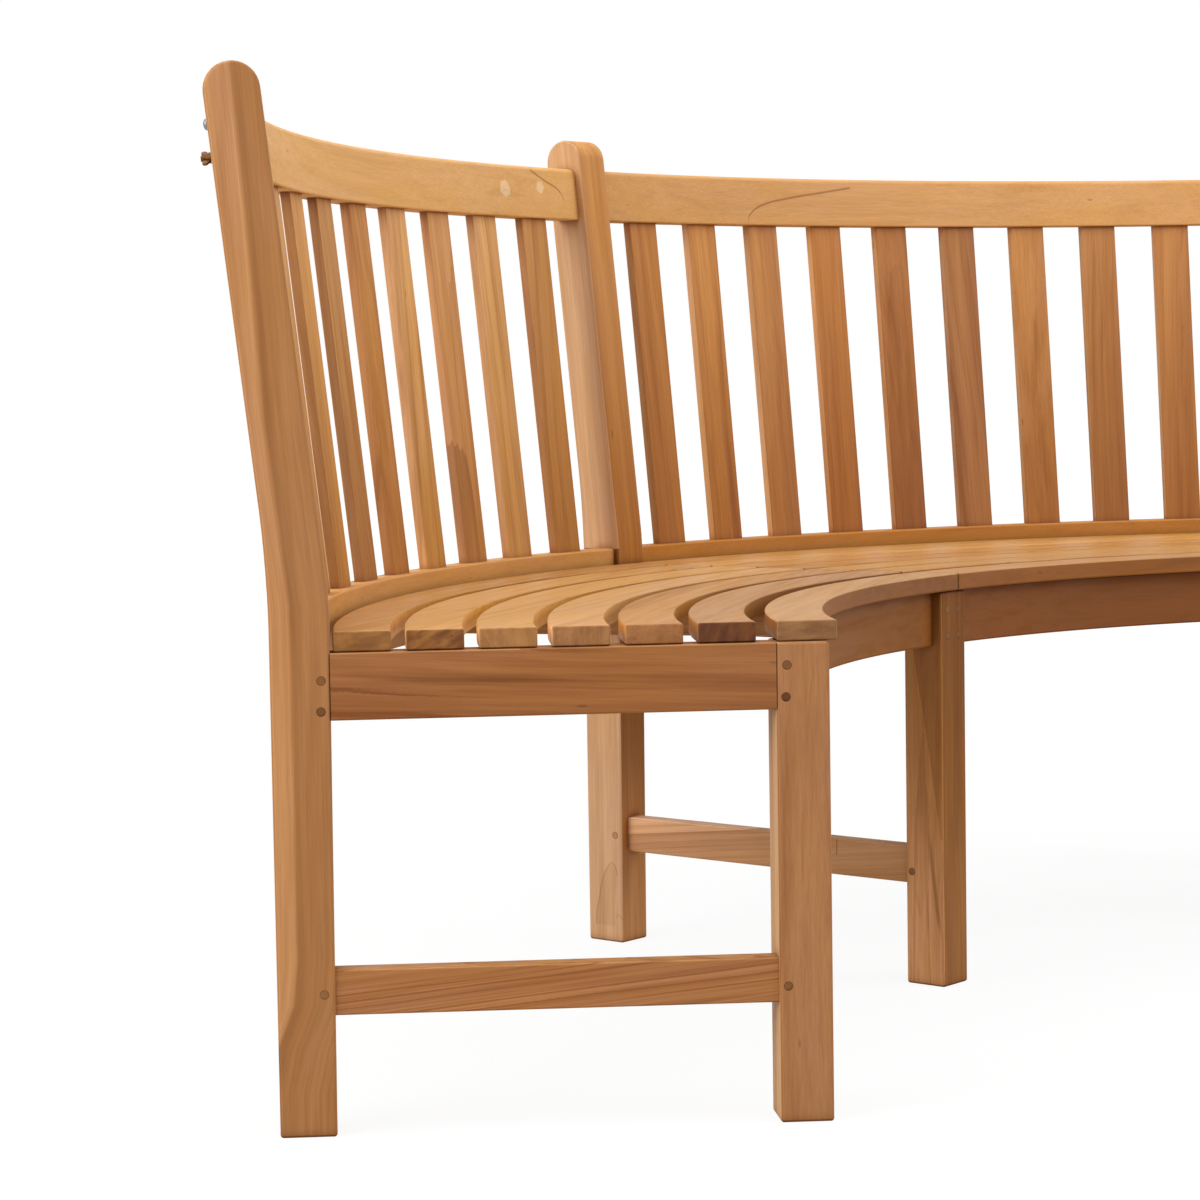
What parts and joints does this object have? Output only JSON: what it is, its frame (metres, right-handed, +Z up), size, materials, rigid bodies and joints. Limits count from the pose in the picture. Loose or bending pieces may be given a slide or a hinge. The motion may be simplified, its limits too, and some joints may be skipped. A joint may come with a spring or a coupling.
{
  "type": "curved garden bench",
  "caption": "Quarter-ring slatted garden bench of solid teak, with a high leaning back, that couples to its like to make a full ring of seats.",
  "frame": {"origin": "on the ground, under the middle of the bench's bounding box", "axes": "+Z up; +Y out of the ring through the middle frame, so it is behind a sitter; +X to the right as seen from the middle of the ring"},
  "size_m": [1.8458, 0.7498, 0.9029],
  "materials": {
    "frame_teak": "oiled and sanded teak, mid brown",
    "rail_teak": "oiled and sanded teak, golden brown",
    "slat_teak": "oiled and sanded teak, reddish brown",
    "seat_teak": "oiled and sanded teak, pale brown",
    "bronze": "dark antique bronze",
    "steel": "dull grey zinc"
  },
  "bodies": {
    "root": {"back_post_left": "frame_teak", "back_post_middle": "frame_teak", "back_post_right": "frame_teak", "front_leg_left": "frame_teak", "front_leg_middle": "frame_teak", "front_leg_right": "frame_teak", "side_apron_left": "frame_teak", "side_apron_middle": "frame_teak", "side_apron_right": "frame_teak", "side_stretcher_left": "frame_teak", "side_stretcher_middle": "frame_teak", "side_stretcher_right": "frame_teak", "link_screw_left": "steel", "link_screw_right": "steel", "hanger_stud_left": "bronze", "hanger_stud_right": "bronze", "wing_nut_left": "bronze", "wing_nut_right": "bronze", "front_apron_left": "rail_teak", "front_apron_right": "rail_teak", "lower_back_rail_left": "rail_teak", "lower_back_rail_right": "rail_teak", "top_rail_left": "rail_teak", "top_rail_right": "rail_teak", "seat_batten_left": "frame_teak", "seat_batten_right": "frame_teak", "back_slat_left_1": "slat_teak", "back_slat_left_2": "slat_teak", "back_slat_left_3": "slat_teak", "back_slat_left_4": "slat_teak", "back_slat_left_5": "slat_teak", "back_slat_left_6": "slat_teak", "back_slat_left_7": "slat_teak", "back_slat_left_8": "slat_teak", "back_slat_left_9": "slat_teak", "back_slat_right_1": "slat_teak", "back_slat_right_2": "slat_teak", "back_slat_right_3": "slat_teak", "back_slat_right_4": "slat_teak", "back_slat_right_5": "slat_teak", "back_slat_right_6": "slat_teak", "back_slat_right_7": "slat_teak", "back_slat_right_8": "slat_teak", "back_slat_right_9": "slat_teak", "seat_slat_left_1": "seat_teak", "seat_slat_left_2": "seat_teak", "seat_slat_left_3": "seat_teak", "seat_slat_left_4": "seat_teak", "seat_slat_left_5": "seat_teak", "seat_slat_left_6": "seat_teak", "seat_slat_left_7": "seat_teak", "seat_slat_right_1": "seat_teak", "seat_slat_right_2": "seat_teak", "seat_slat_right_3": "seat_teak", "seat_slat_right_4": "seat_teak", "seat_slat_right_5": "seat_teak", "seat_slat_right_6": "seat_teak", "seat_slat_right_7": "seat_teak"}
  },
  "joints": []
}
